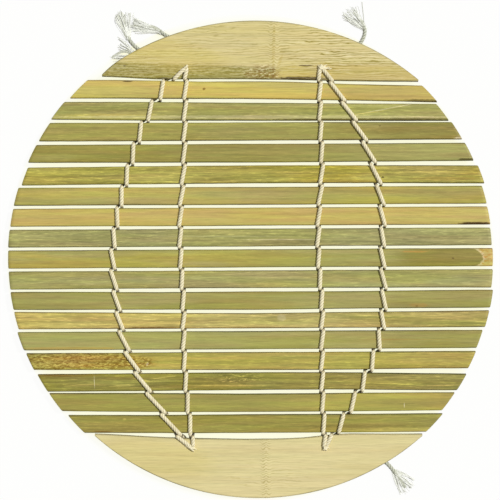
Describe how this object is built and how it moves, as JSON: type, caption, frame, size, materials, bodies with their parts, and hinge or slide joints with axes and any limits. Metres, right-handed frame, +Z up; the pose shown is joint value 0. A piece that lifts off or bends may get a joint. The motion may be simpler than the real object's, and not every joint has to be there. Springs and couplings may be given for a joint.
{
  "type": "bamboo steamer mat",
  "caption": "Round mat of split bamboo slats between two segment end boards, twined together with cotton twine; lines a steamer and rolls up.",
  "frame": {"origin": "centre of the disc, on the surface that the mat lies on", "axes": "+X along the slats, +Y across them towards the top end board, +Z up out of the food side"},
  "size_m": [0.2101, 0.2116, 0.0067],
  "materials": {
    "bamboo_slat": "satin",
    "bamboo_end_board": "satin",
    "cotton_twine": "matte"
  },
  "bodies": {
    "end_board_top": {"end_board_top": "bamboo_end_board", "lacing_top_left": "cotton_twine", "lacing_top_right": "cotton_twine", "knot_top_left": "cotton_twine", "knot_top_right": "cotton_twine", "tail_top_left_long": "cotton_twine", "tail_top_left_short": "cotton_twine", "tail_top_left_brush": "cotton_twine", "tail_top_right": "cotton_twine"},
    "slat_01": {"slat_01": "bamboo_slat"},
    "slat_02": {"slat_02": "bamboo_slat"},
    "slat_03": {"slat_03": "bamboo_slat"},
    "slat_04": {"slat_04": "bamboo_slat"},
    "slat_05": {"slat_05": "bamboo_slat"},
    "slat_06": {"slat_06": "bamboo_slat"},
    "slat_07": {"slat_07": "bamboo_slat"},
    "slat_08": {"slat_08": "bamboo_slat"},
    "slat_09": {"slat_09": "bamboo_slat"},
    "slat_10": {"slat_10": "bamboo_slat"},
    "slat_11": {"slat_11": "bamboo_slat"},
    "slat_12": {"slat_12": "bamboo_slat"},
    "slat_13": {"slat_13": "bamboo_slat"},
    "slat_14": {"slat_14": "bamboo_slat"},
    "slat_15": {"slat_15": "bamboo_slat"},
    "slat_16": {"slat_16": "bamboo_slat"},
    "slat_17": {"slat_17": "bamboo_slat"},
    "end_board_bottom": {"end_board_bottom": "bamboo_end_board", "lacing_bottom_left": "cotton_twine", "lacing_bottom_right": "cotton_twine", "knot_bottom_right": "cotton_twine", "tail_bottom_right": "cotton_twine"}
  },
  "joints": [
    {"name": "fold_08_09", "type": "hinge", "parent": "slat_09", "child": "slat_08", "pos_m": [0, 0.00462, 0.0039], "axis": [1, 0, 0], "range_deg": [-15, 15]},
    {"name": "fold_07_08", "type": "hinge", "parent": "slat_08", "child": "slat_07", "pos_m": [0, 0.01378, 0.0039], "axis": [1, 0, 0], "range_deg": [-15, 15]},
    {"name": "fold_06_07", "type": "hinge", "parent": "slat_07", "child": "slat_06", "pos_m": [0, 0.02283, 0.0039], "axis": [1, 0, 0], "range_deg": [-15, 15]},
    {"name": "fold_05_06", "type": "hinge", "parent": "slat_06", "child": "slat_05", "pos_m": [0, 0.03188, 0.0039], "axis": [1, 0, 0], "range_deg": [-15, 15]},
    {"name": "fold_04_05", "type": "hinge", "parent": "slat_05", "child": "slat_04", "pos_m": [0, 0.04122, 0.0039], "axis": [1, 0, 0], "range_deg": [-15, 15]},
    {"name": "fold_03_04", "type": "hinge", "parent": "slat_04", "child": "slat_03", "pos_m": [0, 0.05058, 0.0039], "axis": [1, 0, 0], "range_deg": [-15, 15]},
    {"name": "fold_02_03", "type": "hinge", "parent": "slat_03", "child": "slat_02", "pos_m": [0, 0.05962, 0.0039], "axis": [1, 0, 0], "range_deg": [-15, 15]},
    {"name": "fold_01_02", "type": "hinge", "parent": "slat_02", "child": "slat_01", "pos_m": [0, 0.06847, 0.0039], "axis": [1, 0, 0], "range_deg": [-15, 15]},
    {"name": "fold_top_01", "type": "hinge", "parent": "slat_01", "child": "end_board_top", "pos_m": [0, 0.07733, 0.0039], "axis": [1, 0, 0], "range_deg": [-15, 15]},
    {"name": "fold_09_10", "type": "hinge", "parent": "slat_09", "child": "slat_10", "pos_m": [0, -0.00443, 0.0039], "axis": [-1, 0, 0], "range_deg": [-15, 15]},
    {"name": "fold_10_11", "type": "hinge", "parent": "slat_10", "child": "slat_11", "pos_m": [0, -0.01328, 0.0039], "axis": [-1, 0, 0], "range_deg": [-15, 15]},
    {"name": "fold_11_12", "type": "hinge", "parent": "slat_11", "child": "slat_12", "pos_m": [0, -0.02262, 0.0039], "axis": [-1, 0, 0], "range_deg": [-15, 15]},
    {"name": "fold_12_13", "type": "hinge", "parent": "slat_12", "child": "slat_13", "pos_m": [0, -0.03107, 0.0039], "axis": [-1, 0, 0], "range_deg": [-15, 15]},
    {"name": "fold_13_14", "type": "hinge", "parent": "slat_13", "child": "slat_14", "pos_m": [0, -0.04013, 0.0039], "axis": [-1, 0, 0], "range_deg": [-15, 15]},
    {"name": "fold_14_15", "type": "hinge", "parent": "slat_14", "child": "slat_15", "pos_m": [0, -0.04877, 0.0039], "axis": [-1, 0, 0], "range_deg": [-15, 15]},
    {"name": "fold_15_16", "type": "hinge", "parent": "slat_15", "child": "slat_16", "pos_m": [0, -0.05742, 0.0039], "axis": [-1, 0, 0], "range_deg": [-15, 15]},
    {"name": "fold_16_17", "type": "hinge", "parent": "slat_16", "child": "slat_17", "pos_m": [0, -0.06698, 0.0039], "axis": [-1, 0, 0], "range_deg": [-15, 15]},
    {"name": "fold_17_bottom", "type": "hinge", "parent": "slat_17", "child": "end_board_bottom", "pos_m": [0, -0.07652, 0.0039], "axis": [-1, 0, 0], "range_deg": [-15, 15]}
  ]
}
